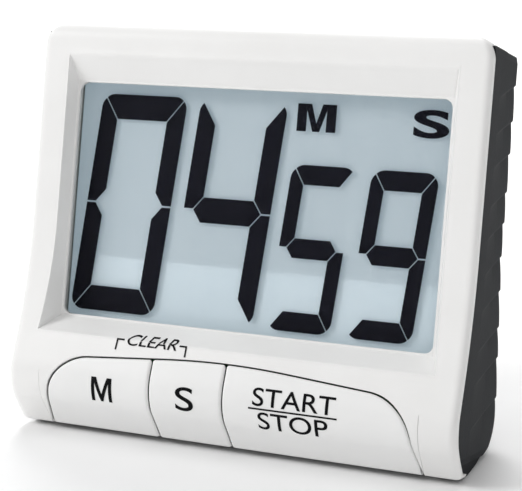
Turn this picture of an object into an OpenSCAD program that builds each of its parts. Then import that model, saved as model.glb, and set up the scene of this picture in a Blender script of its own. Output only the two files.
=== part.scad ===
// Digital kitchen timer that leans back on a fold-out stand.
// Shapes are drawn upright in the case frame: X across, Y back from the window plane,
// Z up from the toe of the white shell. placed() then leans the case on its stand.

/* [Case] */
// Width of the case
case_w = 85; // [82:1:104]
// Height of the case
case_h = 74.5; // [73:0.5:92]
// How far the face stands in front of the window plane
face_y = 2.6; // [2:0.1:3]
// Height at which the face starts to swell into the belly
bend_z = 27.1; // [25:0.1:29]
// Forward slope of the belly's upper side, in degrees
belly_slope = 13.9; // [12:0.1:15]
// Slope of the tuck under the belly, in degrees
tuck_slope = 45; // [40:1:50]
// Distance from the window plane to the flat of the back
back_y = 15.8; // [15:0.1:19]
// Thickness of the moulded walls
wall = 1.5; // [1.3:0.1:1.8]
// Depth of the white rim on the sides
rim = 1.4; // [1.2:0.1:1.5]
// Angle at which the case leans back, in degrees
lean = 12; // [10:1:14]

/* [Window and display] */
// Width of the window
window_w = 71.2; // [59:0.2:74]
// Height of the window
window_h = 43; // [36:0.5:45]
// Height of the window's lower edge
window_z = 20.5; // [20:0.1:21]
// Thickness of the clear window
lens_t = 0.8; // [0.6:0.1:1]
// Thickness of each display glass
glass_t = 0.6; // [0.5:0.1:0.7]

/* [Buttons] */
// Width of the button arch at its foot
arch_w = 72.8; // [66:0.2:74]
// Height of the button arch
arch_h = 15.9; // [15:0.1:16]
// Gap around and between the buttons
button_gap = 0.25; // [0.2:0.05:0.35]
// How far a button travels
button_travel = 0.8; // [0.5:0.1:0.9]

/* [Battery] */
// Diameter of the battery cell
cell_d = 10.5; // [10:0.1:12.6]
// Length of the battery cell
cell_l = 44.5; // [44:0.5:50]

/* [Stand] */
// Angle that the stand opens, in degrees
stand_open = 24; // [20:1:26]
// Height of the stand's hinge
hinge_z = 40; // [38:1:44]
// Width of the stand
stand_w = 66; // [64:1:68]
// Width of each arm of the stand
arm_w = 4.5; // [4:0.1:5]
// Radius of the stand's foot bar
foot_r = 1.2; // [1.1:0.1:1.3]
// Radius of the hinge pins
pin_r = 0.9; // [0.8:0.05:1]

/* [Fasteners] */
// Radius of a case screw's shank
screw_r = 1.1; // [1:0.05:1.2]
// Radius of a case screw's head
screw_head_r = 2; // [1.8:0.1:2.1]

/* [Hidden] */
$fn = 48;
far = 60;            // reaches past every surface
seam = 0.1;          // parting gap between the two shells
snug = 0.15;         // gap around a piece that sits in a seat
running = 0.06;      // radial clearance of the hinge pins
side_in = 0.25;      // the black sides stand this far inside the white rim
corner_r = 4.5;      // upper corners seen from the front
foot_corner_r = 1.2; // lower corners seen from the front
half_w = case_w / 2;

// Stack behind the window plane
floor_t = 1.2;
lens_y = floor_t;
frame_y = lens_y + lens_t;
lip_t = 0.4;
film_t = 0.2;
polariser_y = frame_y + lip_t;
front_glass_y = polariser_y + film_t;
image_gap = 0.2;
rear_glass_y = front_glass_y + glass_t + image_gap;
reflector_y = rear_glass_y + glass_t;
board_y = front_glass_y + glass_t + 2.6;
board_t = 1.2;
board_back = board_y + board_t;

// Battery compartment
cell_r = cell_d / 2;
cell_gap = 0.2;
cell_y = board_back + 0.25 + 0.65 + cell_gap + cell_r;
cell_z = cell_r + 5.15;
bulge_r = cell_r + cell_gap + 1.05 + wall;
cell_x0 = -cell_l / 2 - 0.35;
cell_x1 = cell_x0 + cell_l;
spring_l = 3.3;
plate_t = 0.4;
box_x0 = cell_x0 - plate_t - 0.1;
box_x1 = cell_x1 + spring_l + plate_t + 0.1;
box_top = cell_z + cell_r + 4.0;
box_wall = 1.0;
door_z0 = 7;
door_z1 = box_top - 0.1;
door_half = cell_l / 2 + 1.2;
door_skin = 0.85;
door_lip = 0.85;

// Bottom strip that the leaned case rests on
rest_y = 6;
bottom_slope = 20;
back_slope = 11.7;

function dir(a) = [cos(a), sin(a)];
function cross2(a, b) = a[0] * b[1] - a[1] * b[0];
function unit(v) = v / norm(v);
function at(p) = [p[0], p[1]];
// Point where the line through p along u meets the line through q along v
function meet(p, u, q, v) = p + u * (cross2(q - p, v) / cross2(u, v));

// An outline is a list of [a, b, corner radius], anticlockwise
function corner(a, p, b, r) =
    let (u = unit(a - p), v = unit(b - p), inner = acos(u * v), turn = 180 - inner)
    r <= 0.01 || turn < 0.5 ? [p] :
    let (c = p + unit(u + v) * r / sin(inner / 2), s0 = p + u * r / tan(inner / 2) - c,
        a0 = atan2(s0[1], s0[0]), s = sign(cross2(p - a, b - p)), n = max(5, ceil(turn / 7)))
    [for (i = [0:n]) c + r * dir(a0 + s * turn * i / n)];
function rounded(path) = let (n = len(path))
    [for (i = [0:n - 1]) each corner(at(path[(i + n - 1) % n]), at(path[i]),
        at(path[(i + 1) % n]), path[i][2])];
// The same outline moved inwards by t, so that walls keep their thickness
function inset(path, t) = let (n = len(path))
    [for (i = [0:n - 1])
        let (p = at(path[i]), d0 = unit(p - at(path[(i + n - 1) % n])),
            d1 = unit(at(path[(i + 1) % n]) - p), n0 = [-d0[1], d0[0]], n1 = [-d1[1], d1[0]],
            q = p + (n0 + n1) * t / (1 + n0 * n1))
        [q[0], q[1], max(0, path[i][2] - sign(cross2(d0, d1)) * t)]];

// Side view of the whole case
bend = [-face_y, bend_z];
belly_dir = [-sin(belly_slope), -cos(belly_slope)];
tuck_dir = [cos(tuck_slope), -sin(tuck_slope)];
belly = meet(bend, belly_dir, [0, 0], tuck_dir);
strip_dir = dir(lean);
bulge_c = [cell_y, cell_z];
bottom_dir = dir(bottom_slope);
back_dir = dir(90 + back_slope);
bottom_touch = bulge_c + bulge_r * dir(bottom_slope - 90);
back_touch = bulge_c + bulge_r * dir(back_slope);
strip_end = meet([rest_y, 0], strip_dir, bottom_touch, bottom_dir);
bulge = meet(bottom_touch, bottom_dir, back_touch, back_dir);
back_bend = meet(back_touch, back_dir, [back_y, 0], [0, 1]);
case_path = [[-face_y, case_h, 3.2], [-face_y, bend_z, 90], [belly[0], belly[1], 8], [0, 0, 1],
    [rest_y, 0, 0], [strip_end[0], strip_end[1], 0], [bulge[0], bulge[1], bulge_r],
    [back_bend[0], back_bend[1], 40], [back_y, case_h, 2.5]];

// Line where the white shell ends and the black one starts
rim_path = inset(case_path, rim);
rim_toe = at(rim_path[3]) + 3 * unit(at(rim_path[3]) - at(rim_path[2]));
function rear_zone(gap) = inset([[3, case_h + 1, 0], [rim_path[0][0], case_h - wall, 2],
    rim_path[1], rim_path[2], [rim_toe[0], rim_toe[1], 0], [far, rim_toe[1], 0],
    [far, case_h + 1, 0]], gap);

// Front view outlines
function front_outline(t) = inset([[-half_w, -2, foot_corner_r], [half_w, -2, foot_corner_r],
    [half_w, case_h, corner_r], [-half_w, case_h, corner_r]], t);
arch_top_w = arch_w - 6.4;
arch_shoulder = arch_h - 2.6;
arch_path = [[-arch_w / 2, -2, 0], [arch_w / 2, -2, 0], [arch_top_w / 2, arch_shoulder, 8.5],
    [0, arch_h, 150], [-arch_top_w / 2, arch_shoulder, 8.5]];
divide_x = [-arch_w / 2, -13.8, 0.4, arch_w / 2];
button_x = [for (i = [0:2]) (divide_x[i] + divide_x[i + 1]) / 2];
dome_z = 8.3;

// Recess around the window
recess_edge = 0.3;
recess_draft = 0.385;
recess_top_run = 4.6;
recess_foot_run = 2.7;
recess_foot_y = 4.9;
window_top = window_z + window_h;

// Fastening places
boss_r = 2.4;
boss_y = 8;
top_boss = [half_w - 9.5, case_h - wall - 3.1];
foot_boss = [half_w - 4.3, 12];
screw_places = [for (s = [-1, 1], p = [top_boss, foot_boss]) [s * p[0], p[1]]];
board_screw_x = 24;
board_screw_z = top_boss[1];

// Display
glass_half = window_w / 2 + 1.6;
glass_z0 = window_z - 3.3;
glass_z1 = window_top + 1.9;
ledge = 2.8;
frame_wall = 1.8;

// Things on the back
buzzer_c = [0, 52];
buzzer_r = 10;
magnet_c = [23, 57];
magnet_r = 5;
magnet_t = 2;
hang_z = 66.2;
hang_r = 3.3;
hang_slot_r = 1.8;
hang_rise = 3.4;

// Stand
hinge = [back_y - 1.5, hinge_z];
band_in = 0.3;
band_t = 2.2;
groove_t = band_in + band_t + 0.35;
fold_angle = 2.5;
ground = -sin(lean) * rest_y;
hinge_drop = -sin(lean) * hinge[0] + cos(lean) * hinge[1] - ground;
leg_lean = stand_open + fold_angle - lean;
leg_l = (hinge_drop - foot_r) / cos(leg_lean);
foot_c = hinge + leg_l * [sin(fold_angle), -cos(fold_angle)];
function swing(r, a) = hinge + r * [sin(fold_angle + a), -cos(fold_angle + a)];
foot_gap = 0.3;
barrel_r = 1.3;
stand_gap = 0.35;
liner_wall = 1.2;
pin_l = 1.4;

// Leaned place, with the origin under the middle of the standing timer
function row_y(p) = p[0] * cos(lean) + p[1] * sin(lean);
front_reach = min([for (p = rounded(case_path)) row_y(p)]);
bow_c = hinge + [[cos(stand_open), -sin(stand_open)], [sin(stand_open), cos(stand_open)]]
    * (bulge_c - hinge);
back_reach = max(row_y(hinge) + leg_l * sin(leg_lean) + foot_r, row_y(bow_c) + bulge_r - band_in,
    max([for (p = rounded(case_path)) row_y(p)]));

module placed() {
    translate([0, -(front_reach + back_reach) / 2, -ground]) rotate([-lean, 0, 0]) children();
}
// Extrudes a side view, drawn in Y and Z, along X
module xprism(points, x0, x1) {
    translate([x0, 0, 0]) rotate([90, 0, 90]) linear_extrude(x1 - x0) polygon(points);
}
// Extrudes a front view, drawn in X and Z, along Y
module yprism(points, y0, y1) {
    translate([0, y1, 0]) rotate([90, 0, 0]) linear_extrude(y1 - y0) polygon(points);
}
// A cylinder along Y at a front view place
module ypin(p, r, y0, y1) {
    translate([p[0], y1, p[1]]) rotate([90, 0, 0]) cylinder(r = r, h = y1 - y0);
}
// A cylinder along X at a side view place
module xpin(p, r, x0, x1) {
    translate([x0, p[0], p[1]]) rotate([0, 90, 0]) cylinder(r = r, h = x1 - x0);
}
module box(x0, x1, y0, y1, z0, z1) {
    translate([x0, y0, z0]) cube([x1 - x0, y1 - y0, z1 - z0]);
}
// The case's side view between two depths below its surface
module ring(t0, t1, x0, x1) {
    difference() {
        xprism(rounded(inset(case_path, t0)), x0, x1);
        xprism(rounded(inset(case_path, t1)), x0 - 1, x1 + 1);
    }
}

module recess() {
    top = 3.5;
    intersection() {
        xprism([[0, window_top + recess_edge], [0, window_z - recess_edge],
            [-top * recess_foot_y, window_z - recess_edge - top * recess_foot_run],
            [-top * face_y, window_top + recess_edge + top * recess_top_run]], -far, far);
        linear_extrude(2 * case_h) polygon([[-window_w / 2 - recess_edge, 0],
            [-window_w / 2 - recess_edge - far * recess_draft, -far],
            [window_w / 2 + recess_edge + far * recess_draft, -far],
            [window_w / 2 + recess_edge, 0]]);
    }
}

module front_shell() placed() color("white") {
    tub_x = window_w / 2 + recess_edge + 2;
    inner_x = half_w - side_in - wall - snug;
    difference() {
        union() {
            difference() {
                intersection() {
                    xprism(rounded(case_path), -half_w, half_w);
                    yprism(rounded(front_outline(0)), -far, far);
                }
                xprism(rounded(rear_zone(0)), -far, far);
            }
            // Tub that carries the window
            xprism([[-face_y + 1, window_top + 5.8], [floor_t, window_top + 2.2],
                [floor_t, window_z - 1.5], [-3.6, window_z - 3.4], [-4.4, window_z - 3.1],
                [-face_y - 0.2, window_z + 5], [-face_y + 1, window_z + 12]], -tub_x, tub_x);
            // Lips that locate the rear shell
            for (s = [-1, 1]) intersection() {
                ring(rim - 0.1, rim + 1.6, -far, far);
                box(min(s * inner_x, s * (inner_x - 1)), max(s * inner_x, s * (inner_x - 1)),
                    -far, 4, 4, case_h - corner_r);
            }
            ypin([top_boss[0], top_boss[1]], boss_r, -2, boss_y);
            ypin([-top_boss[0], top_boss[1]], boss_r, -2, boss_y);
            for (s = [-1, 1]) {
                ypin([s * foot_boss[0], foot_boss[1]], boss_r, -5.2, boss_y);
                ypin([s * board_screw_x, board_screw_z], 2, -2, board_y);
            }
        }
        recess();
        box(-window_w / 2, window_w / 2, -1, floor_t + 1, window_z, window_top);
        yprism(rounded(arch_path), -far, floor_t + 3);
        for (p = screw_places) ypin(p, screw_r + 0.05, 1, boss_y + 1);
        for (s = [-1, 1]) ypin([s * board_screw_x, board_screw_z], 0.95, 0.5, board_y + 1);
    }
}

module window_lens() placed() color("lightcyan", 0.4)
    box(-window_w / 2 - 1.4, window_w / 2 + 1.4, lens_y, lens_y + lens_t, window_z - 1.3,
        window_top + 1.3);

module lcd_frame() placed() color("whitesmoke") {
    out = glass_half + frame_wall;
    difference() {
        box(-out, out, frame_y, board_y, glass_z0 - frame_wall, glass_z1 + frame_wall);
        box(-glass_half + 0.9, glass_half - 0.9, -far, far, window_z - 0.5, window_top + 1);
        box(-glass_half - snug, glass_half + snug, frame_y + lip_t, far, glass_z0 - snug,
            glass_z1 + snug);
    }
}

module lcd_polariser() placed() color("lightsteelblue", 0.4)
    box(-glass_half + 0.4, glass_half - 0.4, polariser_y, polariser_y + film_t,
        window_z - 0.8, glass_z1 - 0.4);

module lcd_front_glass() placed() color("lightblue", 0.4)
    box(-glass_half, glass_half, front_glass_y, front_glass_y + glass_t, glass_z0, glass_z1);

module lcd_rear_glass() placed() color("lightblue", 0.4)
    box(-glass_half, glass_half, rear_glass_y, rear_glass_y + glass_t, glass_z0 + ledge,
        glass_z1);

module lcd_reflector() placed() color("lightslategray")
    box(-glass_half + 0.4, glass_half - 0.4, reflector_y, reflector_y + film_t,
        glass_z0 + ledge + 0.1, glass_z1 - 0.4);

// One seven segment digit as mitred bars, drawn upright and then sheared
segments_lit = [[0, 1, 2, 3, 4, 5], [1, 2], [0, 1, 3, 4, 6], [0, 1, 2, 3, 6], [1, 2, 5, 6],
    [0, 2, 3, 5, 6], [0, 2, 3, 4, 5, 6], [0, 1, 2], [0, 1, 2, 3, 4, 5, 6], [0, 1, 2, 3, 5, 6]];
digit_slant = 0.093;
function bar(i, w, h, sx, sz, g) = let (m = h / 2, k = sz / 2)
    i == 0 ? [[g, h], [w - g, h], [w - sx - g, h - sz], [sx + g, h - sz]] :
    i == 1 ? [[w, h - g], [w, m + g], [w - sx / 2, m + g], [w - sx, m + k + g],
        [w - sx, h - sz - g]] :
    i == 2 ? [[w, m - g], [w, g], [w - sx, sz + g], [w - sx, m - k - g], [w - sx / 2, m - g]] :
    i == 3 ? [[g, 0], [sx + g, sz], [w - sx - g, sz], [w - g, 0]] :
    i == 4 ? [[0, m - g], [0, g], [sx, sz + g], [sx, m - k - g], [sx / 2, m - g]] :
    i == 5 ? [[0, h - g], [0, m + g], [sx / 2, m + g], [sx, m + k + g], [sx, h - sz - g]] :
    [[sx / 2 + g, m], [sx + g, m + k], [w - sx - g, m + k], [w - sx / 2 - g, m],
        [w - sx - g, m - k], [sx + g, m - k]];
function sheared(pts, x, z) = [for (p = pts) [x + p[0] + digit_slant * p[1], z + p[1]]];
// Window that the digits are laid out for, and their scale in the window as it is
digit_field = [71.2, 43];
digit_fit = min(window_w / digit_field[0], window_h / digit_field[1]);
module digit(d, x, w, h, sx, sz, g) {
    k = digit_fit;
    for (i = segments_lit[d])
        yprism(sheared(bar(i, k * w, k * h, k * sx, k * sz, k * g), k * x, window_z + 0.9 * k),
            rear_glass_y - 0.1, rear_glass_y);
}
module lcd_segments() placed() color("black") {
    digit(0, -36, 17.3, 40.4, 3.3, 4.5, 0.3);
    digit(4, -16, 17.0, 40.4, 3.3, 4.5, 0.3);
    digit(5, 3.7, 12.1, 29.6, 2.5, 3.4, 0.25);
    digit(9, 18.6, 12.1, 29.6, 2.5, 3.4, 0.25);
}

module zebra_strip() placed() color("hotpink")
    box(-glass_half + 2, glass_half - 2, front_glass_y + glass_t, board_y, glass_z0 + 0.3,
        glass_z0 + ledge - 0.4);

module circuit_board() placed() color("darkgreen") difference() {
    union() {
        box(-glass_half - 0.8, glass_half + 0.8, board_y, board_back, glass_z0 - 1.8,
            glass_z1 + 1);
        box(-arch_w / 2 + 1.6, arch_w / 2 - 1.6, board_y, board_back, 3.7, glass_z0);
        box(-board_screw_x - 5.5, board_screw_x + 5.5, board_y, board_back, glass_z1,
            board_screw_z + 2);
    }
    for (s = [-1, 1]) ypin([s * board_screw_x, board_screw_z], 1.1, 0, far);
}

module chip_blob() placed() color("black") intersection() {
    translate([-12, board_back, 38]) scale(0.5) sphere(r = 9);
    box(-20, 0, board_back, board_back + 1.8, 30, 46);
}

module crystal() placed() color("silver") {
    xpin([board_back + 1.05, 30], 1, 4, 10);
    for (s = [-1, 1]) xpin([board_back + 1.05, 30 + s * 0.45], 0.2, 2, 4);
}

module capacitors() placed() color("saddlebrown")
    for (x = [14, 19, -24]) ypin([x, 33], 1.7, board_back, board_back + 1.8);

module resistors() placed() color("burlywood")
    for (i = [0:4]) box(-8 + 4 * i, -5.6 + 4 * i, board_back, board_back + 0.6, 45, 46.2);

module contact_pads() placed() color("goldenrod")
    for (x = button_x) ypin([x, dome_z], 1.8, board_y - 0.1, board_y);

dome_base_r = 4;
dome_top_r = 2.2;
dome_h = 2.5;
dome_wall = 0.5;
module dome(x) {
    translate([x, board_y, dome_z]) rotate([90, 0, 0]) rotate_extrude() polygon([
        [dome_base_r - 1.2, 0], [dome_base_r, 0], [dome_base_r, 0.8],
        [dome_base_r - 0.8, 0.8], [dome_top_r, dome_h], [0, dome_h], [0, 1],
        [dome_top_r - dome_wall, 1], [dome_top_r - dome_wall, 1.5],
        [dome_base_r - 1.2, 0.5]]);
}
module dome_minutes() placed() color("dimgray") dome(button_x[0]);
module dome_seconds() placed() color("dimgray") dome(button_x[1]);
module dome_start_stop() placed() color("dimgray") dome(button_x[2]);

// Buttons: a cap that fills its share of the arch, a flange behind the shell and a post
toe_drop = 0.3;
button_path = [case_path[0], case_path[1], case_path[2], [toe_drop, -toe_drop, 0.8],
    [rest_y, -toe_drop, 0], [far, -toe_drop, 0], [far, case_h, 0]];
cap_t = 1.6;
flange_w = 1.2;
flange_t = 1;
cap_back = 2;
module cap_ring(t0, t1) difference() {
    xprism(rounded(inset(button_path, t0)), -far, far);
    xprism(rounded(inset(button_path, t1)), -far - 1, far + 1);
}
module button(i) {
    x0 = divide_x[i] + button_gap / 2;
    x1 = divide_x[i + 1] - button_gap / 2;
    intersection() {
        cap_ring(0, cap_t);
        yprism(rounded(inset(arch_path, button_gap)), -far, cap_back);
        box(i == 0 ? -far : x0, i == 2 ? far : x1, -far, cap_back, -far, far);
    }
    intersection() {
        cap_ring(rim + 0.1, rim + 0.1 + flange_t);
        yprism(rounded(inset(arch_path, -flange_w)), -far, cap_back);
        box(i == 0 ? -far : x0 + 0.1, i == 2 ? far : x1 - 0.1, -far, cap_back, 5, far);
    }
    ypin([button_x[i], dome_z], 1.9, -5.2, board_y - dome_h - 0.05);
}
module button_minutes() placed() color("whitesmoke") button(0);
module button_seconds() placed() color("whitesmoke") button(1);
module button_start_stop() placed() color("whitesmoke") button(2);

buzzer_y = back_y - wall - 2.5;
module buzzer_plate() placed() color("gold")
    ypin(buzzer_c, buzzer_r, buzzer_y - 0.25, buzzer_y);
module buzzer_ceramic() placed() color("gainsboro")
    ypin(buzzer_c, buzzer_r - 3, buzzer_y - 0.45, buzzer_y - 0.25);

// A round wire swept along points: rings square to the path, closed at both ends
module wire(pts, r) {
    n = len(pts);
    sides = 8;
    function along(i) = unit(pts[min(i + 1, n - 1)] - pts[max(i - 1, 0)]);
    function side(t) = unit(cross(t, abs(t[0]) > 0.9 ? [0, 1, 0] : [1, 0, 0]));
    polyhedron([for (i = [0:n - 1]) let (t = along(i), u = side(t), v = cross(t, u))
            for (k = [0:sides - 1]) pts[i] + r * (u * cos(45 * k) + v * sin(45 * k))],
        concat([[for (k = [0:sides - 1]) k]],
            [for (i = [0:n - 2], k = [0:sides - 1]) [i * sides + k, (i + 1) * sides + k,
                (i + 1) * sides + (k + 1) % sides, i * sides + (k + 1) % sides]],
            [[for (k = [sides - 1:-1:0]) (n - 1) * sides + k]]));
}
wire_r = 0.45;
lead_y = board_back + 2.6;
module buzzer_leads() placed() color("red") for (s = [-1, 1])
    wire([[s * 3, buzzer_y - 0.95, 47.5], [s * 3, lead_y, 44], [s * 3, lead_y, 41],
        [s * 3, board_back + 1, 39.2], [s * 3, board_back + 0.01, 39.2]], wire_r);
module battery_leads() placed() color("darkred") for (p = [[box_x0 + 0.05 + plate_t / 2, -1],
    [box_x1 - 0.05 - plate_t / 2, 1]])
    wire([[p[0], cell_y, box_top + box_wall + 2.2], [p[0] - p[1], cell_y - 2, 27],
        [p[0] - 2 * p[1], lead_y, 29], [p[0] - 2 * p[1], board_back + 0.01, 29]], wire_r);

module battery_cell() placed() color("steelblue") {
    xpin(bulge_c, cell_r, cell_x0 + 0.8, cell_x1);
    xpin(bulge_c, 1.9, cell_x0, cell_x0 + 0.8);
}

// Leaf of a contact, round below so that it sits in the cell's cradle
module contact_leaf(x0, x1) {
    xpin(bulge_c, cell_r + cell_gap - leaf_gap, x0, x1);
    box(x0, x1, cell_y - cell_r + 0.75, cell_y + cell_r - 1.25, cell_z, box_top - 0.2);
}
leaf_gap = 0.1;

// Conical spring: a helix that widens from the cell to its plate
spring_turns = 4;
module battery_spring() placed() color("silver") {
    wire([for (i = [0:spring_turns * 16]) let (k = i / (spring_turns * 16))
        [cell_x1 + 0.4 + k * (spring_l - 0.5), cell_y + (1.6 + 2.4 * k) * cos(22.5 * i),
            cell_z + (1.6 + 2.4 * k) * sin(22.5 * i)]], 0.3);
    contact_leaf(box_x1 - plate_t - 0.05, box_x1 - 0.05);
    box(box_x1 - plate_t - 0.05, box_x1 - 0.05, cell_y - 1.2, cell_y + 1.2, box_top - 0.3,
        box_top + box_wall + 2);
}
module battery_plate() placed() color("silver") {
    contact_leaf(box_x0 + 0.05, box_x0 + 0.05 + plate_t);
    box(box_x0 + 0.05, box_x0 + 0.05 + plate_t, cell_y - 1.2, cell_y + 1.2, box_top - 0.3,
        box_top + box_wall + 2);
}

// Parts of the band that the stand's arms use, in the side view
module arm_zone(extra) {
    xprism([[cell_y - 3, hinge[1] + extra], [far, hinge[1] + extra], [far, -far],
        bulge_c + far * dir(-78 - 2 * extra), bulge_c + [0, -1]], -far, far);
}
module stand_folded() {
    half = stand_w / 2;
    for (s = [-1, 1]) intersection() {
        ring(band_in, band_in + band_t, -far, far);
        arm_zone(0);
        box(min(s * half, s * (half - arm_w)), max(s * half, s * (half - arm_w)), 0, far, -far,
            far);
    }
    for (s = [-1, 1]) {
        x0 = min(s * half, s * (half - arm_w));
        xpin(hinge, barrel_r, x0, x0 + arm_w);
        x1 = s > 0 ? half - 0.5 : -half - pin_l;
        xpin(hinge, pin_r, x1, x1 + pin_l + 0.5);
    }
    xpin(foot_c, foot_r, -half, half);
}
module stand() placed() color("dimgray")
    translate([0, hinge[0], hinge[1]]) rotate([stand_open, 0, 0])
        translate([0, -hinge[0], -hinge[1]]) stand_folded();

module rear_shell() placed() color("#2b2d30") {
    out_x = half_w - side_in;
    in_x = out_x - wall;
    half = stand_w / 2;
    arm_in = half - arm_w - stand_gap;
    arm_out = half + stand_gap;
    difference() {
        union() {
            // Skin
            difference() {
                intersection() {
                    xprism(rounded(case_path), -out_x, out_x);
                    yprism(rounded(front_outline(side_in)), -far, far);
                    xprism(rounded(rear_zone(seam)), -far, far);
                }
                intersection() {
                    xprism(rounded(inset(case_path, wall)), -in_x, in_x);
                    yprism(rounded(front_outline(side_in + wall)), -far, far);
                }
            }
            // Battery box
            intersection() {
                xprism(rounded(inset(case_path, 0.5)), box_x0 - box_wall, box_x1 + box_wall);
                box(-far, far, board_back + 0.25, far, -far, box_top + box_wall);
            }
            // Walls behind the stand's grooves
            for (s = [-1, 1]) {
                a = s * (arm_in - liner_wall);
                b = s * (arm_out + liner_wall + 0.4);
                intersection() {
                    ring(0.5, groove_t + liner_wall, -far, far);
                    arm_zone(2.9);
                    box(min(a, b), max(a, b), 0, far, 1, far);
                }
            }
            // Screw tubes
            for (p = screw_places) intersection() {
                ypin(p, screw_head_r + 1.3, boss_y + 0.1, far);
                xprism(rounded(inset(case_path, 0.5)), -in_x - 0.5, in_x + 0.5);
                yprism(rounded(front_outline(side_in + 0.5)), -far, far);
            }
            ypin(buzzer_c, buzzer_r + 0.4, buzzer_y, back_y - 0.5);
            for (s = [-1, 1]) ypin([s * magnet_c[0], magnet_c[1]], magnet_r + 1.3,
                back_y - magnet_t - 1.4, back_y - 0.5);
        }
        // Room for the front shell's tubes under the top
        box(-in_x, in_x, -far, -face_y + wall + 0.5, case_h - wall - 3, case_h);
        // Battery space, cradled round the cell below and open above
        xpin(bulge_c, cell_r + cell_gap, box_x0, box_x1);
        intersection() {
            xprism(rounded(inset(case_path, wall)), box_x0, box_x1);
            box(-far, far, cell_y - cell_r - cell_gap, far, cell_z, box_top);
        }
        // Slots for the contacts' tabs
        for (x = [box_x0, box_x1 - plate_t - 0.1])
            box(x, x + plate_t + 0.1, cell_y - 1.5, cell_y + 1.5, box_top - 1, far / 2);
        // Door seat and opening
        difference() {
            box(-door_half - snug, door_half + snug, cell_y, far, door_z0 - snug,
                door_z1 + snug);
            xprism(rounded(inset(case_path, door_skin + 0.1)), -far, far);
        }
        box(-door_half + door_lip - snug, door_half - door_lip + snug, cell_y, far,
            door_z0 + door_lip - snug, door_z1 - door_lip + snug);
        // Room for the buttons' toes
        box(-arch_w / 2 - 1.4, arch_w / 2 + 1.4, -far, cap_back + button_travel + 0.6, -far,
            arch_h);
        // Grooves for the stand
        for (s = [-1, 1]) intersection() {
            ring(-1, groove_t, -far, far);
            arm_zone(barrel_r + 0.3);
            box(min(s * arm_in, s * arm_out), max(s * arm_in, s * arm_out), 0, far, -far, far);
        }
        for (s = [-1, 1]) {
            x0 = min(s * arm_in, s * arm_out);
            xpin(hinge, barrel_r + 0.3, x0, x0 + arm_out - arm_in);
        }
        xpin(hinge, pin_r + running, -half - pin_l - 0.15, half + pin_l + 0.15);
        // Room for the foot bar along its whole swing
        xpin(foot_c, foot_r + foot_gap, -arm_out, arm_out);
        xprism(concat([for (a = [0:2:stand_open]) swing(leg_l + foot_r + foot_gap, a)],
            [for (a = [0:2:stand_open]) swing(leg_l - foot_r - foot_gap,
                2 * floor(stand_open / 2) - a)]), -arm_out, arm_out);
        // Screw holes and their deep seats
        for (p = screw_places) {
            ypin(p, screw_r + 0.2, 0, far);
            ypin(p, screw_head_r + 0.3, boss_y + 1.6, far);
        }
        // Buzzer chamber and its sound holes
        ypin(buzzer_c, buzzer_r - 0.8, 0, back_y - wall);
        for (i = [0:5]) ypin(buzzer_c + 4 * dir(60 * i), 0.8, 0, far);
        ypin(buzzer_c, 0.8, 0, far);
        for (s = [-1, 1]) ypin([s * magnet_c[0], magnet_c[1]], magnet_r + 0.1,
            back_y - magnet_t - 0.15, far);
        // Keyhole for hanging
        ypin([0, hang_z], hang_r, back_y - 4, far);
        ypin([0, hang_z + hang_rise], hang_slot_r, back_y - 4, far);
        box(-hang_slot_r, hang_slot_r, back_y - 4, far, hang_z, hang_z + hang_rise);
    }
}

module battery_door() placed() color("#303236") {
    intersection() {
        ring(0, door_skin, -far, far);
        box(-door_half, door_half, cell_y, far, door_z0, door_z1);
    }
    intersection() {
        ring(door_skin - 0.05, wall, -far, far);
        box(-door_half + door_lip, door_half - door_lip, cell_y, far, door_z0 + door_lip,
            door_z1 - door_lip);
    }
    // Finger grip
    for (i = [0:2]) intersection() {
        ring(-0.35, door_skin, -far, far);
        box(-5, 5, cell_y, far, door_z1 - 3 - 1.6 * i, door_z1 - 2.3 - 1.6 * i);
    }
}

module magnets() placed() color("silver") for (s = [-1, 1])
    ypin([s * magnet_c[0], magnet_c[1]], magnet_r, back_y - magnet_t - 0.1, back_y - 0.1);

module case_screws() placed() color("silver") for (p = screw_places) difference() {
    union() {
        ypin(p, screw_r, 2, boss_y + 1.8);
        ypin(p, screw_head_r, boss_y + 1.6, boss_y + 3.1);
    }
    for (a = [0, 90]) translate([p[0], boss_y + 3.1, p[1]]) rotate([0, a, 0])
        cube([2.4, 1.4, 0.5], center = true);
}

module board_screws() placed() color("silver") for (s = [-1, 1]) difference() {
    union() {
        ypin([s * board_screw_x, board_screw_z], 0.9, 1.5, board_back + 0.1);
        ypin([s * board_screw_x, board_screw_z], 1.7, board_back, board_back + 1.2);
    }
    for (a = [0, 90]) translate([s * board_screw_x, board_back + 1.2, board_screw_z])
        rotate([0, a, 0]) cube([2, 1.2, 0.4], center = true);
}

front_shell();
window_lens();
lcd_frame();
lcd_polariser();
lcd_front_glass();
lcd_segments();
lcd_rear_glass();
lcd_reflector();
zebra_strip();
circuit_board();
chip_blob();
crystal();
capacitors();
resistors();
contact_pads();
dome_minutes();
dome_seconds();
dome_start_stop();
button_minutes();
button_seconds();
button_start_stop();
buzzer_plate();
buzzer_ceramic();
buzzer_leads();
battery_cell();
battery_spring();
battery_plate();
battery_leads();
rear_shell();
battery_door();
stand();
magnets();
case_screws();
board_screws();
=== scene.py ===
import math

import bmesh
import bpy
import numpy as np
from mathutils import Matrix, Vector


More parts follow.
